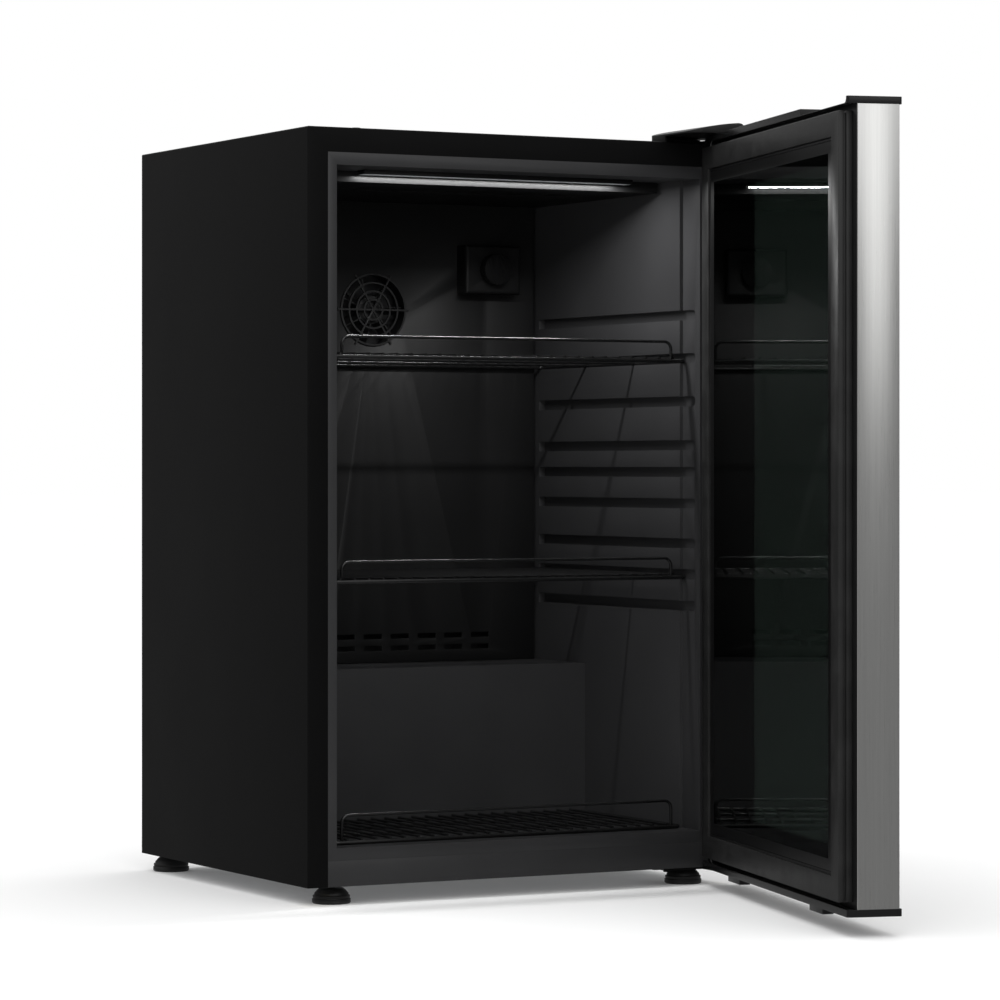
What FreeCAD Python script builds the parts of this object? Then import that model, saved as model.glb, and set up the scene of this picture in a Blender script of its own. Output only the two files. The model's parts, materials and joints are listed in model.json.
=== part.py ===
"""Under-counter glass-door mini fridge, built as separate pieces. Millimetres, Z up, the front faces -Y.

The origin is the centre of the cabinet's underside. The door is drawn shut and then turned to its rest angle.
"""
import FreeCAD, Part
import math
import os

from FreeCAD import Vector

os.makedirs("parts", exist_ok=True)

# ---- cabinet shell
cabinet_width = 526.0
cabinet_depth = 453.0
cabinet_height = 820.0
sheet = 0.8                   # steel wrapper, back panel and bay partition
shell_edge_radius = 1.6
flange_side = 24.0            # width of the steel face beside the opening
flange_top = 27.0
pan_sheet = 1.2
crossbar_height = 28.0
crossbar_depth = 14.0
crossbar_wall = 1.6

# ---- liner and cavity
liner_wall = 1.2
band_side = 10.6              # liner face between the steel flange and the opening
band_top = 13.5
sill_height = 13.7
front_zone_depth = 38.0       # wider part of the cavity, behind the opening
wall_step = 4.0
rear_wall = 42.0              # cavity back to cabinet back
hump_cover = 30.0             # foam over the machine bay
groove_heights = (626.0, 577.0, 528.0, 478.0, 447.5, 411.5, 366.0, 331.0, 295.0)
groove_height = 11.5
groove_depth = 8.0
groove_front_gap = 10.0
groove_end_clearance = 2.0

# ---- machine bay
bay_height = 190.0
bay_depth = 165.0

# ---- hinge line and door
hinge_inset = 18.0            # axis to the cabinet's right side
hinge_forward = 28.0          # axis to the cabinet's front plane
rest_angle = 75.0
door_back_gap = 16.0          # steel back edge to the cabinet's front plane
door_steel_depth = 44.3
door_bottom = 8.3
door_top = 818.4
door_sheet = 0.8
door_face_width = 46.0        # steel border round the outer glass
trim_lip = 1.5                # how far the border turns back at the glass
glass_thickness = 4.0
frame_wall = 2.4
frame_seat = 6.0              # ledge under the inner glass
seal_thickness = 0.2
gasket_gap = 0.9
gasket_inset = 16.0
gasket_width = 25.0
gasket_rise = 10.0            # at the ends the gasket sits this much nearer the edge than at the sides
gasket_lip = 6.0              # depth of the soft face tier
gasket_groove = 2.5
glazing_line = 3.0
glass_recess = 2.6
cap_thickness = 7.5
cap_proud = 3.0
cap_reach = 11.0              # cap beyond the steel's back edge
cap_boss_depth = 14.0
cap_boss_radius = 10.0
cap_swing_radius = 26.3       # keeps the cap's hinge corner clear of the cabinet as it turns
grip_start = 4.0
grip_length = 152.0
grip_ramp_radius = 6.0
grip_width = 26.0
grip_floor = 0.8
sunk_reach = 20.0             # sunk hinge corner, forward of the axis
lug_from_end = 115.0
lug_length = 44.0
lug_width = 12.0
lug_drop = 6.8

# ---- hinges
bracket_sheet = 3.0
bracket_arm_radius = 10.0
bracket_gap = 0.7             # door cap to bracket plate
hinge_pin_radius = 4.0
hinge_pin_clearance = 0.05
hinge_pin_length = 12.0
bush_wall = 2.0
screw_radius = 2.5
screw_head_radius = 4.6
screw_head_height = 2.2
screw_length = 12.0
plate_left_inset = 76.0       # hinge plate's edges, from the cabinet's right side
plate_right_inset = 11.0
top_plate_back = 38.0
bottom_plate_back = 52.0
cover_left_inset = 80.0
cover_right_inset = 5.5
cover_front = 58.0
cover_back = 42.0
cover_low = 8.5
cover_high = 19.0
cover_wall = 2.0
cover_over_door = 0.8
cover_corner = 16.0
cover_crest = 0.82           # where the arch peaks, as a share of its width
cover_shoulder = 0.42        # a point on the rising side, as shares of width and height
cover_shoulder_rise = 0.66
cover_fall = 3.0             # drop from the peak to the right edge
cover_fall_middle = 0.7

# ---- feet
foot_height = 20.0
foot_radius = 21.0
foot_neck_radius = 15.0
foot_gap = 0.5
foot_inset_side = 41.0
foot_inset_front = 27.0
foot_inset_rear_side = 27.0
foot_inset_rear = 24.0
stud_radius = 4.0
stud_length = 14.0
stud_clearance = 0.06
nut_radius = 7.2

# ---- shelves
bar_radius = 2.4
wire_radius = 1.3
rail_radius = 1.75
weld = 0.45                   # how far a welded wire sinks into the bar under it
cross_bar_radius = 1.9
cross_bar_rise = 0.25         # the cross bars sit this much over the frame bar's centre line
wire_pitch = 17.5
shelf_front = 30.0
shelf_side_clearance = 2.0
shelf_back_clearance = 4.0
shelf_levels = {"upper": 577.0, "lower": 331.0}
rail_rise = 22.0
rail_corner = 9.0
rail_inset = 55.0
rack_rail_rise = 30.0

# ---- lamp
lamp_length = 340.0
lamp_depth = 18.0
lamp_height = 5.0
lens_thickness = 1.0
board_thickness = 1.2
diode_height = 1.2
board_end_gap = 6.0
board_half_width = 4.0
lamp_from_front = 51.0
lamp_wall = 1.5
led_pitch = 25.0
led_size = 3.0

# ---- air ducts and fan
plenum_depth = 36.0
duct_wall = 2.0
duct_drop = 12.0
duct_front = 78.0
duct_side_gap = 6.0
vent_count = 7
vent_pitch = 50.0
vent_from_front = 185.0
vent_length = 34.0
vent_width = 7.0
fan_size = 92.0
fan_depth = 25.0
fan_bore_radius = 43.0
fan_tip_gap = 1.5
fan_hub_radius = 17.0
fan_blades = 7
fan_shaft_radius = 1.5
fan_shaft_clearance = 0.04
fan_level = 640.0
guard_wire = 2.2
guard_reach = 47.0
return_slots = 9

# ---- evaporator
evaporator_gap = 10.0
evaporator_plate = 1.5
evaporator_width = 370.0
evaporator_low = 300.0
evaporator_high = 560.0
evaporator_margin = 20.0
evaporator_tube = 3.0
evaporator_bend = 12.0
evaporator_passes = 7
evaporator_pitch = 35.0

# ---- thermostat
stat_width = 74.0
stat_height = 58.0
stat_depth = 24.0
stat_level = 690.0
stat_from_centre = 150.0
knob_radius = 19.0
knob_height = 13.0
knob_shaft_radius = 3.0
knob_clearance = 0.05
knob_gap = 0.6

# ---- sealed system
compressor_radius = 58.0
compressor_height = 122.0
compressor_from_centre = 95.0
compressor_from_back = 82.0
grommet_height = 14.0
grommet_radius = 9.0
bolt_radius = 3.0
base_plate = 2.0
base_half_length = 78.0
base_half_width = 50.0
tube_radius = 2.4
suction_radius = 3.2
capillary_radius = 1.0
condenser_gap = 16.0
condenser_passes = 11
condenser_pitch = 50.0
condenser_half_width = 205.0
condenser_bottom = 245.0
condenser_wire_radius = 0.8
condenser_wire_pitch = 24.0
condenser_bracket = 14.0
drier_radius = 9.0
drier_length = 96.0
pan_tray_wall = 1.8
drain_radius = 7.0
drain_wall = 2.0
gland_bore = 3.6
gland_radius = 8.5
gland_length = 12.0
gland_level = 36.0
gland_from_centre = 205.0

# ---- places worked out from the sizes above
half = cabinet_width / 2
plate_left = half - plate_left_inset
plate_right = half - plate_right_inset
cover_left = half - cover_left_inset
cover_right = half - cover_right_inset
front = -cabinet_depth / 2
back = cabinet_depth / 2
top = cabinet_height
open_side = half - flange_side - band_side        # half width of the opening
open_bottom = crossbar_height + sill_height
open_top = top - flange_top - band_top
cavity_side = open_side - wall_step
cavity_back = back - rear_wall
bay_front = back - bay_depth
hump_front = bay_front - hump_cover
hump_top = bay_height + hump_cover
duct_face = cavity_back - plenum_depth
shelf_rear = duct_face - duct_wall - shelf_back_clearance
hinge_x = half - hinge_inset
hinge_y = front - hinge_forward
steel_back = front - door_back_gap
steel_front = steel_back - door_steel_depth
cap_back = steel_back + cap_reach
cap_front = steel_front - cap_proud
cap_top = door_top + cap_thickness
cap_bottom = door_bottom - cap_thickness
compressor_y = back - compressor_from_back
compressor_base = pan_sheet + grommet_height


def box(x0, x1, y0, y1, z0, z1):
    """A block between two corners."""
    return Part.makeBox(x1 - x0, y1 - y0, z1 - z0, Vector(x0, y0, z0))


def rod(x, y, z, radius, length, along=(0, 0, 1)):
    """A round bar from a point."""
    return Part.makeCylinder(radius, length, Vector(x, y, z), Vector(*along))


def joined(shapes):
    """One solid from several that meet or overlap."""
    shapes = list(shapes)
    return shapes[0].multiFuse(shapes[1:]).removeSplitter()


def group(shapes):
    """Several separate solids kept in one node."""
    return Part.makeCompound([s for shape in shapes for s in shape.Solids])


def turned(outline, x=0.0, y=0.0, z=0.0):
    """A solid of revolution about a vertical line, from (radius, height) points."""
    points = [Vector(r, 0, h) for r, h in outline]
    face = Part.Face(Part.makePolygon(points + points[:1]))
    solid = face.revolve(Vector(0, 0, 0), Vector(0, 0, 1), 360)
    return solid.translated(Vector(x, y, z))


def upright_edges(shape, test):
    """Vertical edges whose middle passes a test."""
    found = []
    for edge in shape.Edges:
        a, b = edge.Vertexes[0].Point, edge.Vertexes[-1].Point
        if abs(a.x - b.x) < 0.01 and abs(a.y - b.y) < 0.01 and test((a + b) * 0.5):
            found.append(edge)
    return found


def rounded_box(x0, x1, y0, y1, z0, z1, radius):
    """A block with its upright edges rounded."""
    block = box(x0, x1, y0, y1, z0, z1)
    return block.makeFillet(radius, upright_edges(block, lambda p: True))


def tube(points, radius, bend):
    """A round tube along straight runs joined by tangent arcs."""
    points = [Vector(*p) for p in points]
    pieces = []
    start = points[0]
    for before, corner, after in zip(points, points[1:], points[2:]):
        into = (corner - before).normalize()
        out = (after - corner).normalize()
        turn = into.getAngle(out)
        cut = bend * math.tan(turn / 2)
        entry = corner - into * cut
        centre = corner + (out - into).normalize() * (bend / math.cos(turn / 2))
        if (entry - start).Length > 1e-6:
            pieces.append(Part.makeCylinder(radius, (entry - start).Length, start, into))
        section = Part.Face(Part.Wire(Part.makeCircle(radius, entry, into)))
        pieces.append(section.revolve(centre, into.cross(out), math.degrees(turn)))
        start = corner + out * cut
    run = points[-1] - start
    if run.Length > 1e-6:
        pieces.append(Part.makeCylinder(radius, run.Length, start, run))
    return joined(pieces)


def screw(x, y, z, down=True):
    """A pan-head screw whose head's seat is at z."""
    way = -1 if down else 1
    shank = rod(x, y, z, screw_radius, screw_length, (0, 0, way))
    head = rod(x, y, z, screw_head_radius, screw_head_height, (0, 0, -way))
    return joined([shank, head])


def mirrored(shape):
    """The same shape on the other side of the cabinet."""
    return shape.mirror(Vector(0, 0, 0), Vector(1, 0, 0))


# ---- cavity -------------------------------------------------------------------------------------

def groove(level, grow):
    """One shelf groove in the right-hand wall, with a round front end."""
    radius = groove_height / 2 + grow
    start = front + groove_front_gap + groove_height / 2
    end = shelf_rear + groove_end_clearance + grow
    reach = groove_depth + grow
    slot = box(cavity_side - 1, cavity_side + reach, start, end, level - radius, level + radius)
    nose = rod(cavity_side - 1, start, level, radius, reach + 1, (1, 0, 0))
    return joined([slot, nose])


def cavity(grow=0.0, grooves=True):
    """The storage space, or its outside skin when it is grown by the liner's wall."""
    zone = box(-open_side - grow, open_side + grow, front, front + front_zone_depth + grow,
               open_bottom - grow, open_top + grow)
    room = box(-cavity_side - grow, cavity_side + grow, front, cavity_back + grow,
               open_bottom - grow, open_top + grow)
    hump = box(-half, half, hump_front + grow, back, 0, hump_top - grow)
    space = joined([zone, room]).cut(hump)
    if grooves:
        slots = [groove(level, grow) for level in groove_heights]
        space = space.multiFuse(slots + [mirrored(s) for s in slots])
    return space


def liner_outside():
    return cavity(liner_wall)


def liner_band():
    """The face of the liner that shows between the steel flange and the opening."""
    edge = half - flange_side
    return box(-edge, edge, front, front + liner_wall, crossbar_height, top - flange_top)


drain_x = compressor_from_centre
drain_y = compressor_y + 22.0
suction_x = -150.0
capillary_x = -138.0
chase_y = back - rear_wall / 2
line_level = 470.0
line_end = cavity_back - evaporator_gap + evaporator_plate


def drain_hole():
    return rod(drain_x, drain_y, bay_height - 20, drain_radius, hump_cover + 22)


def suction_line():
    """From the compressor's side, up inside the rear wall and in to the evaporator."""
    return tube([(compressor_from_centre - compressor_radius + 2, compressor_y, compressor_base + 70),
                 (suction_x, compressor_y, compressor_base + 70),
                 (suction_x, chase_y, compressor_base + 70),
                 (suction_x, chase_y, line_level),
                 (suction_x, line_end, line_level)], suction_radius, 13)


def capillary_tube():
    """From the drier up beside the suction line to the evaporator."""
    return tube([(-110, drier_y, drier_z + drier_length),
                 (-110, drier_y, drier_z + drier_length + 22),
                 (capillary_x, chase_y, drier_z + drier_length + 22),
                 (capillary_x, chase_y, line_level + 14),
                 (capillary_x, line_end, line_level + 14)], capillary_radius, 6)


drier_y = back - 60.0
drier_z = 42.0
service_lines = [suction_line(), capillary_tube()]


def without_lines(shape):
    """Cuts the drain and the two refrigerant lines out of a wall."""
    return shape.cut(drain_hole()).cut(service_lines[0]).cut(service_lines[1])


# ---- cabinet ------------------------------------------------------------------------------------

screw_places_top = [(plate_left + 12, front + 14), (plate_left + 12, front + 30),
                    (plate_right - 12, front + 28)]
screw_places_bottom = [(plate_left + 8, front + 16), (plate_left + 8, front + 42),
                       (plate_right - 6, front + 44)]
foot_places_front = {"left": (-half + foot_inset_side, front + foot_inset_front),
                     "right": (half - foot_inset_side, front + foot_inset_front)}
foot_places_rear = [(side * (half - foot_inset_rear_side), back - foot_inset_rear) for side in (-1, 1)]


def hinge_screws():
    """The six screws of both hinge plates."""
    upper = [screw(x, y, top + bracket_sheet) for x, y in screw_places_top]
    lower = [screw(x, y, -bracket_sheet, down=False) for x, y in screw_places_bottom]
    return group(upper + lower)


def hinge_hole_plugs():
    """Push-in plugs over the unused hinge holes on the left, for the other door hand."""
    plugs = []
    for x, y in screw_places_top:
        stem = rod(-x, y, top - 5, screw_radius, 5)
        plugs.append(joined([stem, rod(-x, y, top, screw_head_radius + 0.6, 1.2)]))
    return group(plugs)


def cabinet_wrapper():
    """Sides, top and the folded front flange, from one steel sheet."""
    outer = box(-half, half, front, back, 0, top)
    corners = upright_edges(outer, lambda p: p.y < 0)
    tops = [e for e in outer.Edges if all(v.Point.z > top - 1 for v in e.Vertexes)
            and not all(v.Point.y > back - 1 for v in e.Vertexes)]
    outer = outer.makeFillet(shell_edge_radius, corners + tops)
    inner = box(-half + sheet, half - sheet, front + sheet, back + 1, -1, top - sheet)
    edge = half - flange_side
    mouth = box(-edge, edge, front - 1, front + sheet + 1, -1, top - flange_top)
    return outer.cut(inner).cut(mouth).cut(hinge_screws()).cut(hinge_hole_plugs())


def foam_region(x0, x1, y0, y1, z0, z1):
    block = box(x0, x1, y0, y1, z0, z1)
    crossbar = box(-half + flange_side, half - flange_side, front, front + crossbar_depth,
                   0, crossbar_height)
    block = block.cut(liner_outside()).cut(liner_band()).cut(crossbar)
    for x, y in foot_places_front.values():
        block = block.cut(rod(x, y, 0, nut_radius, pan_sheet + stud_length + 1))
    return without_lines(block.cut(hinge_screws()).cut(hinge_hole_plugs()))


def foam_insulation():
    """The foam fill, panel by panel: sides, top, rear, floor and the two walls round the bay."""
    inside, start, end = half - sheet, front + sheet, back - sheet
    side = cavity_side + liner_wall
    low = open_bottom - liner_wall
    high = open_top + liner_wall
    wall_y, wall_z = bay_front - sheet, bay_height + sheet
    bay = box(-half, half, wall_y, back, 0, wall_z)
    panels = []
    for x0, x1 in ((-inside, -side), (side, inside)):
        panels.append(foam_region(x0, x1, start, end, pan_sheet, top - sheet).cut(bay))
    panels.append(foam_region(-side, side, start, end, high, top - sheet))
    panels.append(foam_region(-side, side, cavity_back + liner_wall, end, wall_z, high))
    panels.append(foam_region(-side, side, start, hump_front + liner_wall, pan_sheet, low))
    panels.append(foam_region(-side, side, hump_front + liner_wall, wall_y, pan_sheet,
                              hump_top - liner_wall))
    panels.append(foam_region(-side, side, wall_y, cavity_back + liner_wall, wall_z,
                              hump_top - liner_wall))
    return group(panels)


def inner_liner():
    shell = liner_band().fuse(liner_outside()).cut(cavity())
    return without_lines(shell)


def back_panel():
    """Closes the foam at the rear, above the open machine bay."""
    return box(-half + sheet, half - sheet, back - sheet, back, bay_height + sheet, top - sheet)


def bay_partition():
    """Folded steel wall and ceiling of the machine bay."""
    inside = half - sheet
    wall = box(-inside, inside, bay_front - sheet, bay_front, pan_sheet, bay_height + sheet)
    ceiling = box(-inside, inside, bay_front - sheet, back, bay_height, bay_height + sheet)
    return without_lines(joined([wall, ceiling]))


def base_pan():
    """Bottom plate with a low rear upstand and a tab that holds the cord gland."""
    inside = half - sheet
    plate = box(-inside, inside, front + crossbar_depth, back, 0, pan_sheet)
    upstand = box(-inside, inside, back - pan_sheet, back, 0, 14)
    tab = box(-gland_from_centre - 22, -gland_from_centre + 22, back - pan_sheet, back, 0,
              gland_level + 18)
    pan = joined([plate, upstand, tab])
    for x, y in list(foot_places_front.values()) + foot_places_rear:
        pan = pan.cut(rod(x, y, -1, stud_radius + stud_clearance, 4))
    for x, y in grommet_places():
        pan = pan.cut(rod(x, y, -1, bolt_radius, 4))
    hole = rod(-gland_from_centre, back - 5, gland_level, gland_radius - 1.5, 10, (0, 1, 0))
    return pan.cut(hole).cut(hinge_screws())


def foot_nuts():
    """Weld nuts over the pan that the levelling studs screw into."""
    nuts = []
    for x, y in list(foot_places_front.values()) + foot_places_rear:
        nut = rod(x, y, pan_sheet, nut_radius, 6)
        nuts.append(nut.cut(rod(x, y, 0, stud_radius + stud_clearance, 20)))
    return group(nuts)


def front_crossbar():
    """Lower front rail, an open channel behind its face."""
    edge = half - flange_side
    bar = box(-edge, edge, front, front + crossbar_depth, 0, crossbar_height)
    hollow = box(-edge + crossbar_wall, edge - crossbar_wall, front + crossbar_wall,
                 front + crossbar_depth + 1, crossbar_wall, crossbar_height - crossbar_wall)
    return bar.cut(hollow).cut(hinge_screws())


def bracket(z, plate_back):
    """A hinge plate: the screwed part on the cabinet and the arm out to the axis."""
    start = front + 6
    plate = rounded_box(plate_left, plate_right, start, front + plate_back, z, z + bracket_sheet, 5)
    tip = rod(hinge_x, hinge_y, z, bracket_arm_radius, bracket_sheet)
    right = hinge_x + bracket_arm_radius
    arm = box(hinge_x - bracket_arm_radius, min(right, plate_right), hinge_y, start + 8,
              z, z + bracket_sheet)
    return joined([plate, tip, arm]).cut(rod(hinge_x, hinge_y, z - 1, hinge_pin_radius, 10))


def top_hinge_bracket():
    return bracket(top, top_plate_back).cut(hinge_screws())


def bottom_hinge_bracket():
    plate = bracket(-bracket_sheet, bottom_plate_back).cut(hinge_screws())
    x, y = foot_places_front["right"]
    return plate.cut(rod(x, y, -10, stud_radius + 1, 20))


def top_hinge_pin():
    """Headed pin riveted in the top plate, pointing down into the door."""
    low = top - hinge_pin_length
    body = rod(hinge_x, hinge_y, low, hinge_pin_radius, top + bracket_sheet - low)
    head = rod(hinge_x, hinge_y, top + bracket_sheet, hinge_pin_radius + 2, 1.6)
    return joined([body, head])


def bottom_hinge_pin():
    """Pin riveted in the bottom plate, with a collar that carries the door."""
    body = rod(hinge_x, hinge_y, -bracket_sheet, hinge_pin_radius, hinge_pin_length + bracket_sheet)
    head = rod(hinge_x, hinge_y, -bracket_sheet - 1.6, hinge_pin_radius + 2, 1.6)
    return joined([body, head])


def top_hinge_cover():
    """Arched cover over the top hinge, open below, that reaches out over the door's corner."""
    y0, y1 = front - cover_front, front + cover_back
    low, high = top + cover_low, top + cover_high
    span = cover_right - cover_left
    crest = cover_left + cover_crest * span
    left = Vector(cover_left, y0, low)
    peak = Vector(crest, y0, high)
    right = Vector(cover_right, y0, high - cover_fall)
    shoulder = Vector(cover_left + cover_shoulder * span, y0, low + cover_shoulder_rise * (high - low))
    rising = Part.Arc(left, shoulder, peak)
    falling = Part.Arc(peak, Vector((crest + cover_right) / 2, y0, high - cover_fall_middle), right)
    foot_right = Vector(cover_right, y0, top)
    foot_left = Vector(cover_left, y0, top)
    outline = Part.Wire([rising.toShape(), falling.toShape(),
                         Part.LineSegment(right, foot_right).toShape(),
                         Part.LineSegment(foot_right, foot_left).toShape(),
                         Part.LineSegment(foot_left, left).toShape()])
    body = Part.Face(outline).extrude(Vector(0, y1 - y0, 0))
    plan = rounded_box(cover_left, cover_right, y0, y1, top - 1, high + 1, cover_corner)
    body = body.common(plan)
    over_door = box(cover_left - 1, cover_right + 1, y0 - 1, front + 1, top - 1,
                    cap_top + cover_over_door)
    room = box(cover_left + cover_wall, cover_right - cover_wall, front - 2,
               y1 - cover_wall, top - 1, low - cover_wall)
    return body.cut(over_door).cut(room)


def foot(x, y):
    """Ribbed levelling foot with its threaded stud."""
    z0 = -foot_height
    plate = -bracket_sheet - foot_gap
    outline = [(0, z0), (foot_radius - 1.2, z0), (foot_radius, z0 + 1.2), (foot_radius, z0 + 5),
               (foot_radius - 1.4, z0 + 5.8), (foot_radius - 0.8, z0 + 6.6),
               (foot_radius - 0.8, z0 + 8.6), (foot_radius - 2.4, z0 + 9.4),
               (foot_radius - 2.4, z0 + 11), (foot_neck_radius, plate - 1.5),
               (foot_neck_radius - 2, plate), (stud_radius, plate),
               (stud_radius, stud_length - foot_gap), (0, stud_length - foot_gap)]
    return turned(outline, x, y)


def rear_feet():
    return group([foot(x, y) for x, y in foot_places_rear])


# ---- shelves ------------------------------------------------------------------------------------

def wire_deck(level, half_width, y_back):
    """A welded wire shelf: a bar frame, two cross bars and closely spaced wires over them."""
    y0 = front + shelf_front
    z = level + bar_radius
    pieces = [tube([(half_width, (y0 + y_back) / 2, z), (half_width, y_back, z), (-half_width, y_back, z),
                    (-half_width, y0, z), (half_width, y0, z), (half_width, (y0 + y_back) / 2, z)],
                   bar_radius, 8)]
    for share in (1 / 3, 2 / 3):
        y = y0 + (y_back - y0) * share
        pieces.append(rod(-half_width, y, z + cross_bar_rise, cross_bar_radius, 2 * half_width, (1, 0, 0)))
    count = int((2 * half_width - 24) / wire_pitch)
    over = z + bar_radius + wire_radius - weld
    for i in range(count + 1):
        x = (i - count / 2) * wire_pitch
        pieces.append(rod(x, y0 - wire_radius, over, wire_radius, y_back - y0 + 2 * wire_radius, (0, 1, 0)))
    return joined(pieces)


def guard_rail(level, rise, deck):
    """The low wire rail along a shelf's front edge."""
    x = half - rail_inset
    y = front + shelf_front
    z0 = level + bar_radius
    z1 = level + bar_radius + rise
    rail = tube([(-x, y, z0), (-x, y, z1), (x, y, z1), (x, y, z0)], rail_radius, rail_corner)
    return rail.cut(deck)


def shelf_pieces():
    """Both shelves in their grooves, and the short rack on the cavity floor."""
    found = {}
    half_width = cavity_side + groove_depth - shelf_side_clearance - bar_radius
    y_back = shelf_rear - bar_radius
    flat = wire_deck(0, half_width, y_back)
    for name, centre in shelf_levels.items():
        level = centre - groove_height / 2
        deck = flat.translated(Vector(0, 0, level))
        found[name + "_shelf_deck"] = deck
        found[name + "_shelf_rail"] = guard_rail(level, rail_rise, deck)
    side = cavity_side - shelf_side_clearance - bar_radius
    rack = wire_deck(open_bottom, side, hump_front - shelf_back_clearance - bar_radius)
    found["bottom_rack_deck"] = rack
    found["bottom_rack_rail"] = guard_rail(open_bottom, rack_rail_rise, rack)
    return found


# ---- lamp ---------------------------------------------------------------------------------------

lamp_front = front + lamp_from_front
lamp_low = open_top - lamp_height


def lamp_housing():
    body = box(-lamp_length / 2, lamp_length / 2, lamp_front, lamp_front + lamp_depth, lamp_low, open_top)
    room = box(-lamp_length / 2 + lamp_wall, lamp_length / 2 - lamp_wall, lamp_front + lamp_wall,
               lamp_front + lamp_depth - lamp_wall, lamp_low - 1, open_top - lamp_wall)
    return body.cut(room)


def led_strip():
    board_top = open_top - lamp_wall
    middle = lamp_front + lamp_depth / 2
    reach = lamp_length / 2 - board_end_gap
    low = board_top - board_thickness
    board = box(-reach, reach, middle - board_half_width, middle + board_half_width, low, board_top)
    count = int((lamp_length - 20) / led_pitch)
    leds = []
    for i in range(count + 1):
        x = (i - count / 2) * led_pitch
        leds.append(box(x - led_size / 2, x + led_size / 2, middle - led_size / 2,
                        middle + led_size / 2, low - diode_height, low))
    return joined([board] + leds)


def lamp_lens():
    return box(-lamp_length / 2 + lamp_wall, lamp_length / 2 - lamp_wall, lamp_front + lamp_wall,
               lamp_front + lamp_depth - lamp_wall, lamp_low, lamp_low + lens_thickness)


# ---- air ducts, fan, evaporator -------------------------------------------------------------------

def ceiling_duct():
    """Louvred air duct below the ceiling, fed by the fan at the rear."""
    side = cavity_side - duct_side_gap
    y0 = front + duct_front
    y1 = duct_face - duct_wall
    body = box(-side, side, y0, y1, open_top - duct_drop, open_top)
    room = box(-side + duct_wall, side - duct_wall, y0 + duct_wall, y1 + 1,
               open_top - duct_drop + duct_wall, open_top + 1)
    body = body.cut(room)
    for i in range(vent_count):
        x = (i - (vent_count - 1) / 2) * vent_pitch
        y = front + vent_from_front
        body = body.cut(box(x - vent_length / 2, x + vent_length / 2, y, y + vent_width,
                            open_top - duct_drop - 1, open_top - duct_drop + duct_wall + 1))
    return body


def rear_duct_cover():
    """Moulded panel over the evaporator, with the fan's mouth and return slots below."""
    side = cavity_side - duct_side_gap
    z0 = hump_top + 0.5
    body = box(-side, side, duct_face - duct_wall, cavity_back, z0, open_top)
    room = box(-side + duct_wall, side - duct_wall, duct_face, cavity_back + 1, z0 + duct_wall, open_top + 1)
    body = body.cut(room).cut(rod(0, duct_face - 9, fan_level, fan_bore_radius, 20, (0, 1, 0)))
    slots = []
    for i in range(return_slots):
        x = (i - (return_slots - 1) / 2) * 36
        slots.append(box(x - 12, x + 12, duct_face - 5, duct_face + 2, z0 + 14, z0 + 20))
        slots.append(box(x - 12, x + 12, duct_face - 5, duct_face + 2, z0 + 28, z0 + 34))
    mouth = box(-side + 2 * duct_wall, side - 2 * duct_wall, duct_face - 5, duct_face + 1,
                open_top - duct_drop + duct_wall, open_top + 1)
    body = body.cut(Part.makeCompound(slots)).cut(mouth)
    shaft = rod(stat_from_centre, duct_face - 5, stat_level, knob_shaft_radius + 2, 10, (0, 1, 0))
    return body.cut(shaft)


def fan_frame():
    """Square fan body with four struts that hold the motor."""
    y0 = duct_face
    s = fan_size / 2
    body = box(-s, s, y0, y0 + fan_depth, fan_level - s, fan_level + s)
    body = body.cut(rod(0, y0 - 1, fan_level, fan_bore_radius, fan_depth + 2, (0, 1, 0)))
    motor_y = y0 + fan_depth - 9
    pieces = [body, rod(0, motor_y, fan_level, fan_hub_radius - 2, 9, (0, 1, 0))]
    for turn in (45, 135):
        strut = box(-fan_bore_radius - 1, fan_bore_radius + 1, motor_y + 6, motor_y + 9, -2, 2)
        strut.rotate(Vector(0, 0, 0), Vector(0, 1, 0), turn)
        pieces.append(strut.translated(Vector(0, 0, fan_level)))
    bore = rod(0, motor_y - 1, fan_level, fan_shaft_radius + fan_shaft_clearance, 8, (0, 1, 0))
    return joined(pieces).cut(bore)


def fan_rotor():
    """Hub, shaft and swept blades."""
    y0 = duct_face + 3
    hub_end = duct_face + fan_depth - 9 - 0.5
    hub = rod(0, y0, fan_level, fan_hub_radius, hub_end - y0, (0, 1, 0))
    shaft = rod(0, y0 + 2, fan_level, fan_shaft_radius, hub_end + 6 - y0 - 2, (0, 1, 0))
    reach = fan_bore_radius - fan_tip_gap
    pieces = [hub, shaft]
    for i in range(fan_blades):
        blade = box(fan_hub_radius - 2, reach - 1, -0.8, 0.8, -9, 9)
        blade.rotate(Vector(0, 0, 0), Vector(1, 0, 0), 62)
        blade.rotate(Vector(0, 0, 0), Vector(0, 1, 0), 360 * i / fan_blades)
        pieces.append(blade.translated(Vector(0, (y0 + hub_end) / 2, fan_level)))
    limit = rod(0, y0, fan_level, reach, hub_end + 6 - y0, (0, 1, 0))
    return joined(pieces).common(limit)


def fan_guard():
    """Ring guard clipped over the fan's mouth on the cover."""
    y = duct_face - duct_wall - guard_wire
    pieces = []
    for radius in (12, 22, 32, 42):
        disc = rod(0, y, fan_level, radius + guard_wire / 2, guard_wire, (0, 1, 0))
        hole = rod(0, y - 1, fan_level, radius - guard_wire / 2, guard_wire + 2, (0, 1, 0))
        pieces.append(disc.cut(hole))
    for turn in (0, 60, 120):
        bar = box(-guard_reach, guard_reach, y, y + guard_wire, -guard_wire / 2, guard_wire / 2)
        bar.rotate(Vector(0, 0, 0), Vector(0, 1, 0), turn)
        pieces.append(bar.translated(Vector(0, 0, fan_level)))
    return joined(pieces)


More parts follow.
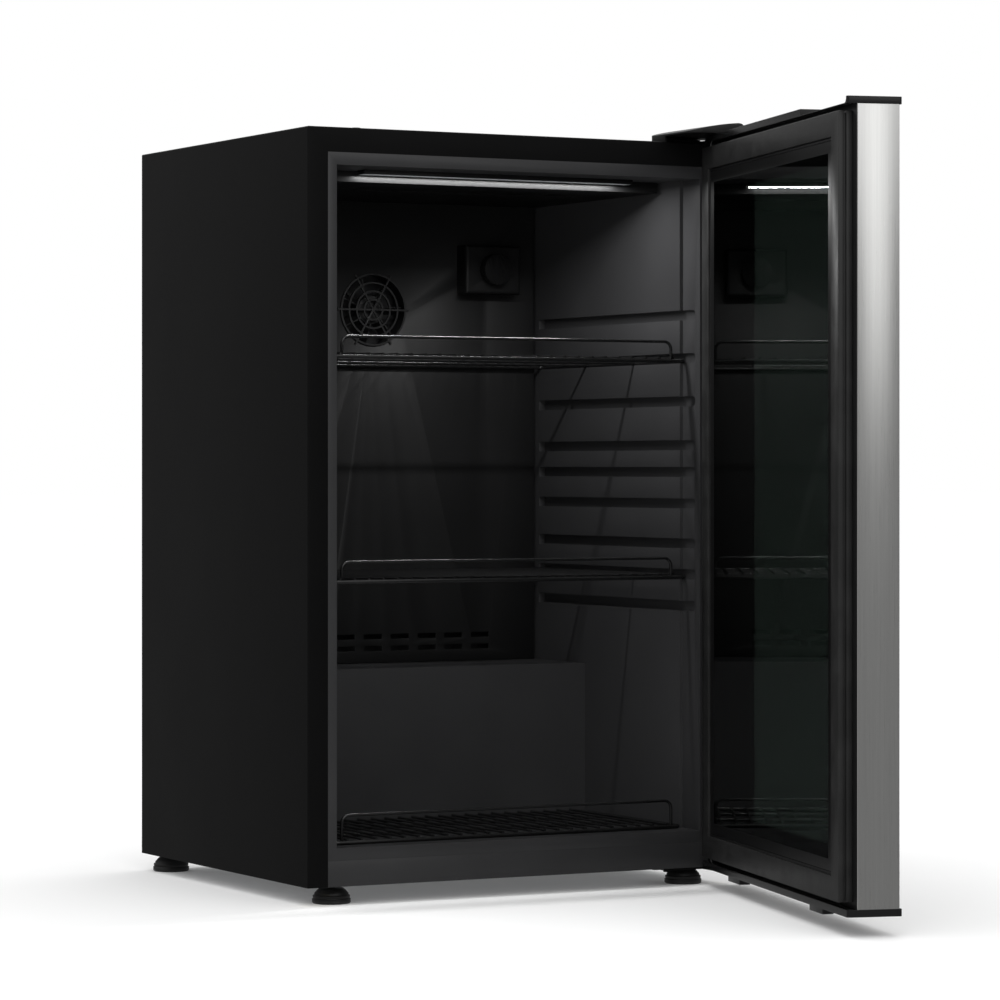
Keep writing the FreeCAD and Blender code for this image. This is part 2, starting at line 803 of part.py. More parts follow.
def evaporator():
    """Cold plate with its refrigerant channel bonded to the front face."""
    y = cavity_back - evaporator_gap
    half_width = evaporator_width / 2
    middle = (evaporator_low + evaporator_high) / 2
    plate = box(-half_width, half_width, y, y + evaporator_plate, evaporator_low, evaporator_high)
    reach = half_width - evaporator_margin
    points = []
    for i in range(evaporator_passes):
        z = middle + (i - (evaporator_passes - 1) / 2) * evaporator_pitch
        way = 1 if i % 2 == 0 else -1
        points += [(-way * reach, y - evaporator_tube, z), (way * reach, y - evaporator_tube, z)]
    return group([plate, tube(points, evaporator_tube, evaporator_bend)])


# ---- thermostat -----------------------------------------------------------------------------------

def thermostat_housing():
    """Control box on the rear cover."""
    y0 = duct_face - duct_wall - stat_depth
    s, h = stat_width / 2, stat_height / 2
    body = box(stat_from_centre - s, stat_from_centre + s, y0, duct_face - duct_wall,
               stat_level - h, stat_level + h)
    front_edges = [e for e in body.Edges if all(v.Point.y < y0 + 0.01 for v in e.Vertexes)]
    body = body.makeFillet(4, front_edges)
    room = box(stat_from_centre - s + 2, stat_from_centre + s - 2, y0 + 4, duct_face, stat_level - h + 2,
               stat_level + h - 2)
    bore = rod(stat_from_centre, y0 - 1, stat_level, knob_shaft_radius + knob_clearance, 10, (0, 1, 0))
    return body.cut(room).cut(bore)


def thermostat_switch():
    """Thermostat body behind the knob, inside the control box."""
    y0 = duct_face - duct_wall - stat_depth + 4
    body = box(stat_from_centre - 16, stat_from_centre + 16, y0 + 2, y0 + 15,
               stat_level - 14, stat_level + 14)
    clip = box(stat_from_centre - 22, stat_from_centre + 22, y0, y0 + 2, stat_level - 10, stat_level + 10)
    bore = rod(stat_from_centre, y0 - 1, stat_level, knob_shaft_radius + knob_clearance, 9, (0, 1, 0))
    return joined([body, clip]).cut(bore)


def thermostat_knob():
    """Grooved knob with its shaft."""
    face = duct_face - duct_wall - stat_depth - knob_gap
    disc = rod(stat_from_centre, face - knob_height, stat_level, knob_radius, knob_height, (0, 1, 0))
    notches = []
    for i in range(24):
        turn = math.radians(15 * i)
        x = stat_from_centre + math.cos(turn) * (knob_radius + 0.6)
        z = stat_level + math.sin(turn) * (knob_radius + 0.6)
        notches.append(rod(x, face - knob_height - 1, z, 1.4, knob_height + 2, (0, 1, 0)))
    disc = disc.cut(Part.makeCompound(notches))
    pointer = box(stat_from_centre - 1.2, stat_from_centre + 1.2, face - knob_height - 0.8,
                  face - knob_height, stat_level + 4, stat_level + 15)
    shaft = rod(stat_from_centre, face - 2, stat_level, knob_shaft_radius, 12, (0, 1, 0))
    return joined([disc, pointer, shaft])


# ---- machine bay ------------------------------------------------------------------------------------

def grommet_places():
    return [(compressor_from_centre + sx * (base_half_length - 14),
             compressor_y + sy * (base_half_width - 14)) for sx in (-1, 1) for sy in (-1, 1)]


def compressor_grommets():
    rings = []
    for x, y in grommet_places():
        outline = [(bolt_radius, 0), (grommet_radius, 0), (grommet_radius, 5), (grommet_radius - 2, 6.5),
                   (grommet_radius - 2, 8), (grommet_radius, 9.5), (grommet_radius, grommet_height),
                   (bolt_radius, grommet_height)]
        rings.append(turned(outline, x, y, pan_sheet))
    return group(rings)


def compressor_bolts():
    bolts = []
    for x, y in grommet_places():
        shank = rod(x, y, 0, bolt_radius, compressor_base + base_plate)
        head = rod(x, y, compressor_base + base_plate, bolt_radius + 2.4, 4)
        bolts.append(joined([shank, head]))
    return group(bolts)


def compressor_base_plate():
    plate = rounded_box(compressor_from_centre - base_half_length, compressor_from_centre + base_half_length,
                        compressor_y - base_half_width, compressor_y + base_half_width,
                        compressor_base, compressor_base + base_plate, 10)
    for x, y in grommet_places():
        plate = plate.cut(rod(x, y, 0, bolt_radius, 60))
    return plate


def compressor():
    """Welded steel shell: lower cup, weld seam and domed top."""
    r, h = compressor_radius, compressor_height
    z = compressor_base + base_plate
    outline = [(0, 0), (r - 18, 0), (r - 5, 6), (r, 18), (r, 54), (r + 2.5, 56), (r + 2.5, 60),
               (r - 1, 62), (r - 1, h - 34), (r - 8, h - 16), (r - 24, h - 4), (0, h)]
    return turned(outline, compressor_from_centre, compressor_y, z).cut(service_lines[0])


def relay_cover():
    """Starter and overload cover on the compressor's side."""
    x0 = compressor_from_centre + compressor_radius - 6
    z = compressor_base + base_plate + 66
    body = box(x0, x0 + 36, compressor_y - 24, compressor_y + 24, z, z + 44)
    return body.makeFillet(4, upright_edges(body, lambda p: p.x > x0 + 5)).cut(compressor())


def evaporation_pan():
    """Shallow tray over the compressor that catches the defrost water."""
    z = compressor_base + base_plate + compressor_height
    x, y = compressor_from_centre, compressor_y
    body = rounded_box(x - 58, x + 58, y - 46, y + 46, z, z + 22, 12)
    room = rounded_box(x - 58 + pan_tray_wall, x + 58 - pan_tray_wall, y - 46 + pan_tray_wall,
                       y + 46 - pan_tray_wall, z + pan_tray_wall, z + 30, 10)
    return body.cut(room)


def drain_tube():
    """Drain from the cavity down to the tray."""
    low = compressor_base + base_plate + compressor_height + 12
    body = rod(drain_x, drain_y, low, drain_radius, hump_top - low)
    return body.cut(rod(drain_x, drain_y, low - 1, drain_radius - drain_wall, 90))


def filter_drier():
    outline = [(0, 0), (tube_radius, 0), (tube_radius, 8), (drier_radius, 18),
               (drier_radius, drier_length - 14), (capillary_radius + 1, drier_length - 4),
               (capillary_radius + 1, drier_length), (0, drier_length)]
    return turned(outline, -110, drier_y, drier_z)


def condenser_y():
    return back + condenser_gap


def condenser_coil():
    """Serpentine tube of the rear condenser, fed at the top and drained to the drier."""
    y = condenser_y()
    x = condenser_half_width
    points = [(-110, drier_y, drier_z), (-110, drier_y, drier_z - 18), (-110, y, drier_z - 18),
              (-x - 20, y, drier_z - 18), (-x - 20, y, condenser_bottom)]
    for i in range(condenser_passes):
        z = condenser_bottom + i * condenser_pitch
        if i:
            points.append((-x if i % 2 == 0 else x, y, z))
        points.append((x if i % 2 == 0 else -x, y, z))
    return tube(points, tube_radius, 12)


def discharge_line():
    """From the compressor out through the open bay and up to the condenser's top."""
    y = condenser_y()
    top_z = condenser_bottom + (condenser_passes - 1) * condenser_pitch
    side = condenser_half_width
    return tube([(compressor_from_centre, compressor_y + compressor_radius - 3, compressor_base + 40),
                 (compressor_from_centre, y, compressor_base + 40),
                 (side + 24, y, compressor_base + 40),
                 (side + 24, y, top_z), (side, y, top_z)], tube_radius, 12).cut(compressor())


def condenser_wires():
    """Upright cooling wires welded to both faces of the coil."""
    y = condenser_y()
    offset = tube_radius + condenser_wire_radius
    z0 = condenser_bottom - 12
    length = (condenser_passes - 1) * condenser_pitch + 24
    count = int(2 * (condenser_half_width - 16) / condenser_wire_pitch)
    wires = []
    for i in range(count + 1):
        x = (i - count / 2) * condenser_wire_pitch
        for side in (-1, 1):
            wires.append(rod(x, y + side * offset, z0, condenser_wire_radius, length))
    return group(wires)


def condenser_brackets():
    """Four clips that hold the coil off the back panel."""
    y = condenser_y()
    clips = []
    for sx in (-1, 1):
        for step in (1.5, condenser_passes - 2.5):
            z = condenser_bottom + step * condenser_pitch
            x = sx * (condenser_half_width - 42)
            w = condenser_bracket
            clip = box(x - w / 2, x + w / 2, back, y - tube_radius, z - 30, z + 30)
            clip = clip.cut(box(x - w / 2 + 1.5, x + w / 2 - 1.5, back + 1.5, y, z - 31, z + 31))
            clips.append(clip.cut(condenser_wires()))
    return group(clips)


def cord_gland():
    """Rubber bush that the supply cord passes through."""
    y = back - gland_length / 2 - pan_sheet / 2
    slot_low = gland_length / 2 - pan_sheet / 2
    slot_high = gland_length / 2 + pan_sheet / 2
    outline = [(gland_bore, 0), (gland_radius - 0.5, 0), (gland_radius, 2), (gland_radius, slot_low),
               (gland_radius - 1.5, slot_low), (gland_radius - 1.5, slot_high), (gland_radius, slot_high),
               (gland_radius, gland_length - 2), (gland_radius - 2, gland_length), (gland_bore, gland_length)]
    gland = turned(outline)
    gland.rotate(Vector(0, 0, 0), Vector(1, 0, 0), -90)
    return gland.translated(Vector(-gland_from_centre, y, gland_level))


# ---- door (drawn shut) ------------------------------------------------------------------------------

def ring(inset_out, inset_in, y0, y1, low=door_bottom, high=door_top):
    """A rectangular frame between two insets from the door's edges."""
    outer = box(-half + inset_out, half - inset_out, y0, y1, low + inset_out, high - inset_out)
    inner = box(-half + inset_in, half - inset_in, y0 - 1, y1 + 1, low + inset_in, high - inset_in)
    return outer.cut(inner)


def raised_ring(inset_out, inset_in, y0, y1):
    """A ring that keeps the gasket's shorter distance from the door's two ends."""
    return ring(inset_out, inset_in, y0, y1, door_bottom - gasket_rise, door_top + gasket_rise)


glass_inset = gasket_inset + gasket_width
inner_glass_face = front - gasket_gap - glass_recess
outer_glass_back = steel_front + door_sheet + glass_thickness
pocket_radius = cap_boss_radius + 0.2
boss_top = door_top - cap_boss_depth
boss_bottom = door_bottom + cap_boss_depth


def hinge_pockets():
    """Room for the caps' bosses in the ends of the door frame."""
    upper = rod(hinge_x, hinge_y, boss_top, pocket_radius, 60)
    lower = rod(hinge_x, hinge_y, -30, pocket_radius, 30 + boss_bottom)
    return upper.fuse(lower)


def door_frame():
    """Moulded inner frame that carries both glasses and the gasket."""
    inner = glass_inset + frame_seat
    start = outer_glass_back + seal_thickness
    block = box(-half + door_sheet, half - door_sheet, start, steel_back, door_bottom, door_top)
    low = door_bottom + inner - gasket_rise
    high = door_top - inner + gasket_rise
    window = box(-half + inner, half - inner, start - 1, steel_back + 1, low, high)
    skin = door_sheet + frame_wall
    edge = half - inner + frame_wall
    hollow = box(-half + skin, half - skin, start - 1, steel_back - frame_wall,
                 door_bottom + skin, door_top - skin)
    core = box(-edge, edge, start - 2, steel_back, low - frame_wall, high + frame_wall)
    body = block.cut(window).cut(hollow.cut(core))
    collar = raised_ring(glass_inset, glass_inset + glazing_line, steel_back, inner_glass_face)
    seat = raised_ring(glass_inset, inner, steel_back, inner_glass_face - glass_thickness)
    return joined([body, collar, seat]).cut(hinge_pockets())


def door_trim():
    """Brushed steel casing: the sides and the border round the outer glass."""
    sides = [box(x, x + door_sheet, steel_front, steel_back, door_bottom, door_top)
             for x in (-half, half - door_sheet)]
    face = ring(0, door_face_width, steel_front, steel_front + door_sheet)
    lip = ring(door_face_width - door_sheet, door_face_width, steel_front,
               steel_front + door_sheet + trim_lip)
    return joined(sides + [face, lip])


def outer_glass():
    y0 = steel_front + door_sheet
    pane = box(-half + 6, half - 6, y0, y0 + glass_thickness, door_bottom + 6, door_top - 6)
    return pane.cut(door_trim())


def inner_glass():
    inset = glass_inset + glazing_line
    return box(-half + inset, half - inset, inner_glass_face - glass_thickness, inner_glass_face,
               door_bottom + inset - gasket_rise, door_top - inset + gasket_rise)


def glazing_seal():
    """Butyl strip between the frame and the outer glass."""
    y0 = steel_front + door_sheet + glass_thickness
    inner = glass_inset + frame_seat
    return raised_ring(inner - frame_wall, inner, y0, y0 + seal_thickness)


def door_gasket():
    """Magnetic gasket in two tiers with a groove between."""
    face = front - gasket_gap
    inset, outer = gasket_inset, gasket_inset + gasket_width
    soft = raised_ring(inset, outer, face - gasket_lip, face)
    neck = raised_ring(inset + gasket_groove, outer, face - gasket_lip - gasket_groove, face - gasket_lip)
    heel = raised_ring(inset, outer, steel_back, face - gasket_lip - gasket_groove)
    return joined([soft, neck, heel])


def cap_plan(z0, z1):
    """Plan of an end cap, with its hinge corner trimmed to clear the cabinet as the door turns."""
    plate = rounded_box(-half, half, cap_front, cap_back, z0, z1, 2.5)
    corner = box(hinge_x, half + 1, hinge_y, cap_back + 1, z0, z1)
    kept = rod(hinge_x, hinge_y, z0, cap_swing_radius, z1 - z0)
    return plate.cut(corner.cut(kept))


def bush(z0, z1, flange_low):
    """A plain plastic bush with its flange."""
    r = hinge_pin_radius + hinge_pin_clearance
    body = rod(hinge_x, hinge_y, z0, r + bush_wall, z1 - z0)
    z = z0 if flange_low else z1 - 1
    flange = rod(hinge_x, hinge_y, z, r + bush_wall + 1.5, 1)
    return joined([body, flange]).cut(rod(hinge_x, hinge_y, z0 - 1, r, z1 - z0 + 2))


bracket_floor = top - bracket_gap
lower_bush_bottom = cap_bottom - 0.6


def hinge_bushes():
    upper = bush(bracket_floor - 11.5, bracket_floor, False)
    lower = bush(lower_bush_bottom, lower_bush_bottom + 11.5, True)
    return group([upper, lower])


def bush_room():
    return group([s.fuse(rod(hinge_x, hinge_y, s.BoundBox.ZMin - 4, hinge_pin_radius + 0.3, 24))
                  for s in hinge_bushes().Solids])


def door_top_cap():
    """Top end cap, with the finger grip in its rear edge and a sunk corner for the hinge."""
    body = cap_plan(door_top, cap_top)
    side = hinge_x - bracket_arm_radius - 3
    sunk = box(side, half + 1, hinge_y - sunk_reach, cap_back + 1, bracket_floor, cap_top + 1)
    x0 = -half + grip_start
    grip = box(x0, x0 + grip_length, cap_back - grip_width, cap_back + 1, door_top + grip_floor, cap_top + 1)
    ramp_radius = grip_ramp_radius
    ramp = rod(x0 + ramp_radius, cap_back - grip_width, door_top + grip_floor + ramp_radius, ramp_radius,
               grip_width + 2, (0, 1, 0))
    corner = box(x0 - 1, x0 + ramp_radius, cap_back - grip_width - 1, cap_back + 2, door_top,
                 door_top + grip_floor + ramp_radius)
    grip = grip.cut(corner.cut(ramp))
    boss = rod(hinge_x, hinge_y, boss_top, cap_boss_radius, cap_boss_depth)
    return joined([body.cut(sunk).cut(grip), boss]).cut(bush_room())


def door_bottom_cap():
    """Bottom end cap, with its two stop lugs."""
    body = cap_plan(cap_bottom, door_bottom)
    boss = rod(hinge_x, hinge_y, door_bottom, cap_boss_radius, cap_boss_depth)
    lugs = []
    for side in (-1, 1):
        x = side * (half - lug_from_end)
        lugs.append(box(x - lug_length / 2, x + lug_length / 2, cap_back - 4 - lug_width, cap_back - 4,
                        cap_bottom - lug_drop, cap_bottom + 1))
    return joined([body, boss] + lugs).cut(bush_room())


DOOR = {
    "door_frame": door_frame,
    "door_trim": door_trim,
    "outer_glass": outer_glass,
    "inner_glass": inner_glass,
    "glazing_seal": glazing_seal,
    "door_gasket": door_gasket,
    "door_top_cap": door_top_cap,
    "door_bottom_cap": door_bottom_cap,
    "hinge_bushes": hinge_bushes,
}

CABINET = {
    "cabinet_wrapper": cabinet_wrapper,
    "inner_liner": inner_liner,
    "foam_insulation": foam_insulation,
    "back_panel": back_panel,
    "bay_partition": bay_partition,
    "base_pan": base_pan,
    "foot_nuts": foot_nuts,
    "front_crossbar": front_crossbar,
    "top_hinge_bracket": top_hinge_bracket,
    "top_hinge_pin": top_hinge_pin,
    "hinge_screws": hinge_screws,
    "top_hinge_cover": top_hinge_cover,
    "bottom_hinge_bracket": bottom_hinge_bracket,
    "bottom_hinge_pin": bottom_hinge_pin,
    "hinge_hole_plugs": hinge_hole_plugs,
    "rear_feet": rear_feet,
    "lamp_housing": lamp_housing,
    "led_strip": led_strip,
    "lamp_lens": lamp_lens,
    "ceiling_duct": ceiling_duct,
    "rear_duct_cover": rear_duct_cover,
    "fan_frame": fan_frame,
    "fan_rotor": fan_rotor,
    "fan_guard": fan_guard,
    "evaporator": evaporator,
    "thermostat_housing": thermostat_housing,
    "thermostat_switch": thermostat_switch,
    "thermostat_knob": thermostat_knob,
    "compressor": compressor,
    "compressor_base_plate": compressor_base_plate,
    "compressor_grommets": compressor_grommets,
    "compressor_bolts": compressor_bolts,
    "relay_cover": relay_cover,
    "evaporation_pan": evaporation_pan,
    "drain_tube": drain_tube,
    "filter_drier": filter_drier,
    "condenser_coil": condenser_coil,
    "condenser_wires": condenser_wires,
    "condenser_brackets": condenser_brackets,
    "discharge_line": discharge_line,
    "suction_line": lambda: service_lines[0],
    "capillary_tube": lambda: service_lines[1],
    "cord_gland": cord_gland,
}


def all_pieces():
    """Every node by name, with the door turned to its rest angle."""
    pieces = {name: make() for name, make in CABINET.items()}
    pieces.update(shelf_pieces())
    for side, (x, y) in foot_places_front.items():
        pieces["front_foot_" + side] = foot(x, y)
    for name, make in DOOR.items():
        shape = make()
        shape.rotate(Vector(hinge_x, hinge_y, 0), Vector(0, 0, 1), rest_angle)
        pieces[name] = shape
    return pieces


for node, shape in all_pieces().items():
    box_of = shape.BoundBox
    print(f"{node:24s} solids {len(shape.Solids):3d} valid {shape.isValid()} volume {shape.Volume:12.1f} "
          f"x {box_of.XMin:7.1f} {box_of.XMax:7.1f} y {box_of.YMin:7.1f} {box_of.YMax:7.1f} "
          f"z {box_of.ZMin:7.1f} {box_of.ZMax:7.1f}")
    shape.exportStep("parts/" + node + ".step")
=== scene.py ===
"""Glass-door mini fridge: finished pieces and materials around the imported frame, in metres."""
import json
import math

import bmesh
import bpy
from bpy.props import FloatProperty, FloatVectorProperty, PointerProperty
from mathutils import Matrix, Vector

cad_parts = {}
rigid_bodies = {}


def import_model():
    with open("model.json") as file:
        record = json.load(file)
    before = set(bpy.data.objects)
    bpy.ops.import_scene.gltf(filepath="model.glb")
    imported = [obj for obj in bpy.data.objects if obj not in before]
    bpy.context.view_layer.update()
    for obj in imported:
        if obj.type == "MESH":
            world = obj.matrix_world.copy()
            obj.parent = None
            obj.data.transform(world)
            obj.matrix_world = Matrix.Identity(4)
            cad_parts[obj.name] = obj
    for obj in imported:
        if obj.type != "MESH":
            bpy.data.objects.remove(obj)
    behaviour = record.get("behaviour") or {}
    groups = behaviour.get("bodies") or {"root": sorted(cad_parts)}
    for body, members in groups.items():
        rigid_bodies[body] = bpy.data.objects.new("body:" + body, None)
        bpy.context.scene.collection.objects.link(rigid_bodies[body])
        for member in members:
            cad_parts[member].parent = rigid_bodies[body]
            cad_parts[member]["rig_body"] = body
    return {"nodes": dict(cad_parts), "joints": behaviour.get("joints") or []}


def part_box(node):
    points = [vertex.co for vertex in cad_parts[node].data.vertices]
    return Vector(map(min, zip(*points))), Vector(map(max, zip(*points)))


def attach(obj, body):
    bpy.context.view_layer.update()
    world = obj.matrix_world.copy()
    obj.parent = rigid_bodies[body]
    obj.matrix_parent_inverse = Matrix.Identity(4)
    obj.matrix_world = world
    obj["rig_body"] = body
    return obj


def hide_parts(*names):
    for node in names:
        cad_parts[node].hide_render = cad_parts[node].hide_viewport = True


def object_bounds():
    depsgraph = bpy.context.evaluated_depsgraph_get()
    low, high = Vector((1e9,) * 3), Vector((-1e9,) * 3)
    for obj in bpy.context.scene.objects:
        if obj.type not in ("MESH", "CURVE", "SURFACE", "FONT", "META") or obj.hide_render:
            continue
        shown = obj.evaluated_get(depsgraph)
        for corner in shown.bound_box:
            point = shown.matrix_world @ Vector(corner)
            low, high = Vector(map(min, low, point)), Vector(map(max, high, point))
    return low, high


bl_info = {
    "name": "Mini Fridge",
    "version": (1, 0, 0),
    "blender": (4, 5, 0),
    "location": "3D View > Sidebar > Mini Fridge",
    "description": "Builds a glass-door mini fridge as separate finished pieces",
    "category": "Object",
}

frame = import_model()
NODES = frame["nodes"]
CAD_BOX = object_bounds()
HINGE = next(j for j in frame["joints"] if j["name"] == "door_hinge")
AXIS_POINT = Vector(HINGE["pos_m"])
DOOR_ANGLE = -math.radians(HINGE["range_deg"][0])
DOOR_TURN = (Matrix.Translation(AXIS_POINT) @ Matrix.Rotation(DOOR_ANGLE, 4, "Z")
             @ Matrix.Translation(-AXIS_POINT))
WELD = 0.00002                # vertices nearer than this are one
FLAT = math.radians(0.4)      # faces that meet at less than this are one flat face
SHARP = math.radians(30)      # edges sharper than this are rounded, or shaded as edges

FLOOR_SIZE = 60.0
TENT_RADIUS = 9.0
TENT_HEIGHT = 3.6
TENT_LIFT = 0.003             # the tent's floor above the real one
LIGHTS = (                    # name, place, aim, size, power
    ("key", (-1.6, -3.2, 3.2), (0, 0, 0.4), (2.0, 2.0), 16),
    ("softbox", (0.3, -5.0, 2.15), (0.2, 0, 0.7), (2.0, 2.1), 15),
    ("top", (0.2, 0.4, 3.4), (0, 0, 0.4), (2.4, 2.4), 20))
LAMP_GLOW_POWER = 2.0
LAMP_GLOW_GAP = 0.0005        # the lamp's light below its cover
CAMERA_PLACE = (-2.1066, -4.0959, 0.4526)
CAMERA_TURN = (math.radians(90), 0, math.radians(-28.236))
CAMERA_LENS = 143.44
CAMERA_SENSOR = 36.0
CAMERA_SHIFT = -0.03253
CAMERA_REACH = 200.0

DIODE_SINK = 0.00005          # how far a diode stands below its board
DIODE_DEPTH = 0.0008
PRINT_MARGIN = 0.001          # the printed border is this much smaller than the pane
PRINT_GAP = 0.00012
PRINT_THICKNESS = 0.0001


# ---- sizes and colours that a user would change --------------------------------------------------

def length(name, description, default):
    return FloatProperty(name=name, description=description, default=default, min=0.0,
                         unit="LENGTH", precision=5)


def colour(name, description, default):
    return FloatVectorProperty(name=name, description=description, default=default, size=3,
                               min=0.0, max=1.0, subtype="COLOR")


class FridgeSizes(bpy.types.PropertyGroup):
    """Small sizes that finish the frame's pieces."""
    sheet_edge: length("Sheet edge", "Rounding along the folded sheet edges", 0.0009)
    plastic_edge: length("Plastic edge", "Rounding along the moulded plastic edges", 0.0007)
    metal_edge: length("Metal edge", "Rounding along stamped and turned metal edges", 0.0003)
    rubber_edge: length("Rubber edge", "Rounding along rubber edges", 0.0006)
    glass_edge: length("Glass edge", "Ground bevel round the panes", 0.0005)
    diode_pitch: length("Diode pitch", "Distance between the lamp's diodes", 0.025)
    diode_size: length("Diode size", "Side of one diode", 0.0032)
    cap_edge: length("Cap edge", "Rounding round the door's end caps", 0.0016)
    bead_radius: length("Hem bead", "Radius of the casing's rolled edge", 0.0007)
    print_width: length("Print width", "Black printed border on the inner pane", 0.012)


class FridgeColours(bpy.types.PropertyGroup):
    """Base colours of the finishes."""
    shell: colour("Shell", "Black enamel on the cabinet", (0.0036, 0.0036, 0.0037))
    liner: colour("Liner", "Charcoal plastic of the cavity", (0.027, 0.027, 0.028))
    plastic: colour("Plastic", "Black moulded plastic", (0.0070, 0.0070, 0.0072))
    rubber: colour("Rubber", "Seals, grommets and feet", (0.012, 0.012, 0.012))
    wire: colour("Wire", "Coating on the shelf wires", (0.0060, 0.0060, 0.0062))
    casing: colour("Casing", "Stainless casing of the door", (0.56, 0.56, 0.55))
    zinc: colour("Zinc", "Galvanised sheet", (0.50, 0.51, 0.52))
    copper: colour("Copper", "Refrigerant lines", (0.78, 0.36, 0.21))
    glass: colour("Glass", "Tint of the door panes", (0.10, 0.12, 0.11))
    lamp: colour("Lamp", "Light of the cavity lamp", (0.93, 0.97, 1.0))


# ---- materials -----------------------------------------------------------------------------------

class Field:
    """A number that varies over a surface; arithmetic on it adds Math nodes."""

    def __init__(self, surface, socket):
        self.surface = surface
        self.socket = socket

    def _math(self, operation, *terms):
        node = self.surface.add("ShaderNodeMath", {"operation": operation}, dict(enumerate(terms)))
        return Field(self.surface, node.outputs[0])

    def __add__(self, other):
        return self._math("ADD", self, other)

    def __sub__(self, other):
        return self._math("SUBTRACT", self, other)

    def __mul__(self, other):
        return self._math("MULTIPLY", self, other)

    __radd__ = __add__
    __rmul__ = __mul__


class Surface:
    """One finish: a Principled shader and the nodes that feed it."""

    def __init__(self, name, **sockets):
        self.material = bpy.data.materials.new(name)
        self.material.use_nodes = True
        self.tree = self.material.node_tree
        self.tree.nodes.clear()
        self.shader = self.add("ShaderNodeBsdfPrincipled")
        self.add("ShaderNodeOutputMaterial", {}, {"Surface": self.shader.outputs[0]})
        self.point = self.add("ShaderNodeTexCoord").outputs["Object"]
        self.set(**sockets)

    def add(self, kind, settings=None, sockets=None):
        """Adds a node of a type, with its settings first and then its sockets' values or links."""
        node = self.tree.nodes.new(kind)
        for key, value in (settings or {}).items():
            if key == "stops":
                ramp = node.color_ramp
                while len(ramp.elements) < len(value):
                    ramp.elements.new(0.5)
                for element, (position, shade) in zip(ramp.elements, value):
                    element.position = position
                    element.color = (shade, shade, shade, 1.0)
            else:
                setattr(node, key, value)
        for key, value in (sockets or {}).items():
            self.feed(node.inputs[key], value)
        return node

    def feed(self, socket, value):
        """Links a field or a socket to a socket, or sets its value."""
        if isinstance(value, Field):
            value = value.socket
        if isinstance(value, bpy.types.NodeSocket):
            self.tree.links.new(value, socket)
        elif socket.type == "RGBA" and len(value) == 3:
            socket.default_value = (*value, 1.0)
        else:
            socket.default_value = value

    def set(self, **sockets):
        for key, value in sockets.items():
            self.feed(self.shader.inputs[key.replace("_", " ")], value)

    def noise(self, scale, detail=3.0, stretch=(1, 1, 1), roughness=0.5):
        """Fractal noise with its scale in cycles a metre, from 0 to 1."""
        place = self.add("ShaderNodeMapping", {}, {"Vector": self.point, "Scale": stretch})
        node = self.add("ShaderNodeTexNoise", {"noise_dimensions": "3D"},
                        {"Vector": place.outputs[0], "Scale": scale, "Detail": detail,
                         "Roughness": roughness})
        return Field(self, node.outputs[0])

    def cells(self, scale, output="Distance"):
        """Cells with their scale in cycles a metre."""
        place = self.add("ShaderNodeMapping", {}, {"Vector": self.point, "Scale": (1, 1, 1)})
        node = self.add("ShaderNodeTexVoronoi", {"feature": "F1"},
                        {"Vector": place.outputs[0], "Scale": scale})
        return Field(self, node.outputs[output])

    def steps(self, field, *stops):
        """The field passed through a ramp of (position, shade) stops."""
        node = self.add("ShaderNodeValToRGB", {"stops": stops}, {"Fac": field})
        return Field(self, node.outputs[0])

    def tint(self, dark, light, amount):
        """A colour between two, by a field."""
        node = self.add("ShaderNodeMix", {"data_type": "RGBA"}, {0: amount, 6: dark, 7: light})
        return node.outputs[2]

    def relief(self, height, distance):
        """Bumps of that height field, with their depth in metres."""
        node = self.add("ShaderNodeBump", {},
                        {"Height": height, "Distance": distance, "Strength": 1.0})
        self.set(Normal=node.outputs[0])


def shade(tone, factor):
    """A colour made darker or lighter."""
    return tuple(min(1.0, c * factor) for c in tone)


def enamel(name, tone, roughness, peel=0.00002, specular=0.06):
    """Baked enamel on sheet steel: faint orange peel, with a few dull patches."""
    s = Surface(name, Specular_IOR_Level=specular)
    peel_field = s.noise(420, 2.0)
    wear = s.noise(9, 4.0)
    s.set(Base_Color=s.tint(shade(tone, 0.85), shade(tone, 1.25), wear),
          Roughness=roughness + 0.10 * (wear - 0.5) + 0.05 * (peel_field - 0.5))
    s.relief(peel_field, peel)
    return s.material


def moulding(name, tone, roughness, grain=1500, depth=0.00003, specular=0.3):
    """Moulded plastic: fine spark-eroded grain, and slow changes of gloss."""
    s = Surface(name, Specular_IOR_Level=specular)
    grain_field = s.noise(grain, 2.0)
    pits = s.steps(s.cells(grain * 0.6), (0.0, 0.0), (0.55, 1.0))
    slow = s.noise(14, 3.0)
    s.set(Base_Color=s.tint(shade(tone, 0.8), shade(tone, 1.3), 0.6 * slow + 0.4 * grain_field),
          Roughness=roughness + 0.12 * (slow - 0.5) + 0.06 * (grain_field - 0.5))
    s.relief(0.6 * grain_field + 0.4 * pits, depth)
    return s.material


def brushed(name, tone, roughness, stretch=(2600, 2600, 14), depth=0.000006):
    """Stainless sheet brushed along one direction, with long and short scratches."""
    s = Surface(name, Metallic=1.0)
    fine = s.noise(1.0, 3.0, stretch, 0.65)
    broad = s.noise(1.0, 2.0, tuple(v * 0.16 for v in stretch), 0.5)
    smudge = s.noise(7, 3.0)
    grain = 0.65 * fine + 0.35 * broad
    s.set(Base_Color=s.tint(shade(tone, 0.80), shade(tone, 1.18), grain),
          Roughness=roughness + 0.16 * (fine - 0.5) + 0.06 * (smudge - 0.5))
    s.relief(grain, depth)
    return s.material


